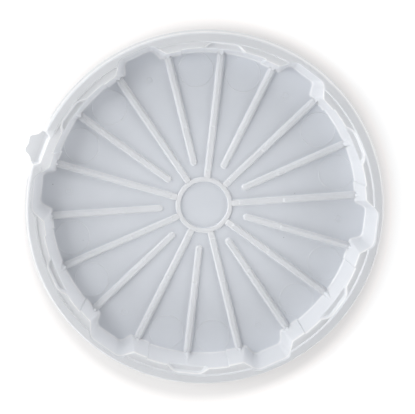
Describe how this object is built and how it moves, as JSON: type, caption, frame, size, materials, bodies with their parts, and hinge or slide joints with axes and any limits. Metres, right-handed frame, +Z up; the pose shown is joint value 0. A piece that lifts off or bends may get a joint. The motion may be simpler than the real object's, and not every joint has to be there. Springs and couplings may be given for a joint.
{
  "type": "cheese tub lid",
  "caption": "Round snap-fit plastic lid for a cheese tub or mold: deep ribbed recess with notches, stepped ledge, flared skirt and a flexing lift tab.",
  "frame": {"origin": "on the lid's axis, in the plane of the recess panel's underside, which the lid rests on", "axes": "+Z up along the lid's axis, recess side up; +X through the middle of notch_wall_1; the lift tab points 165 degrees anticlockwise from +X"},
  "size_m": [0.2286, 0.226, 0.0265],
  "materials": {
    "lid_plastic": "satin moulded polypropylene, white, slightly translucent"
  },
  "bodies": {
    "lid_shell": {"recess_panel": "lid_plastic", "hub_ring": "lid_plastic", "long_rib_1": "lid_plastic", "long_rib_2": "lid_plastic", "long_rib_3": "lid_plastic", "long_rib_4": "lid_plastic", "long_rib_5": "lid_plastic", "long_rib_6": "lid_plastic", "long_rib_7": "lid_plastic", "long_rib_8": "lid_plastic", "long_rib_9": "lid_plastic", "short_rib_1": "lid_plastic", "short_rib_2": "lid_plastic", "short_rib_3": "lid_plastic", "short_rib_4": "lid_plastic", "short_rib_5": "lid_plastic", "short_rib_6": "lid_plastic", "short_rib_7": "lid_plastic", "short_rib_8": "lid_plastic", "short_rib_9": "lid_plastic", "wall_panel_1": "lid_plastic", "wall_panel_2": "lid_plastic", "wall_panel_3": "lid_plastic", "wall_panel_4": "lid_plastic", "wall_panel_5": "lid_plastic", "wall_panel_6": "lid_plastic", "notch_wall_1": "lid_plastic", "notch_wall_2": "lid_plastic", "notch_wall_3": "lid_plastic", "notch_wall_4": "lid_plastic", "notch_wall_5": "lid_plastic", "notch_wall_6": "lid_plastic", "ledge_segment_1": "lid_plastic", "ledge_segment_2": "lid_plastic", "ledge_segment_3": "lid_plastic", "ledge_segment_4": "lid_plastic", "ledge_segment_5": "lid_plastic", "ledge_segment_6": "lid_plastic", "rim_band": "lid_plastic", "skirt": "lid_plastic", "snap_bead": "lid_plastic"},
    "lift_tab": {"lift_tab": "lid_plastic"}
  },
  "joints": [
    {"name": "tab_flex", "type": "hinge", "parent": "lid_shell", "child": "lift_tab", "pos_m": [-0.10519, 0.02819, 0.021], "axis": [0.2588, 0.9659, 0], "range_deg": [0, 60], "stiffness_Nm_per_rad": 0.05}
  ]
}
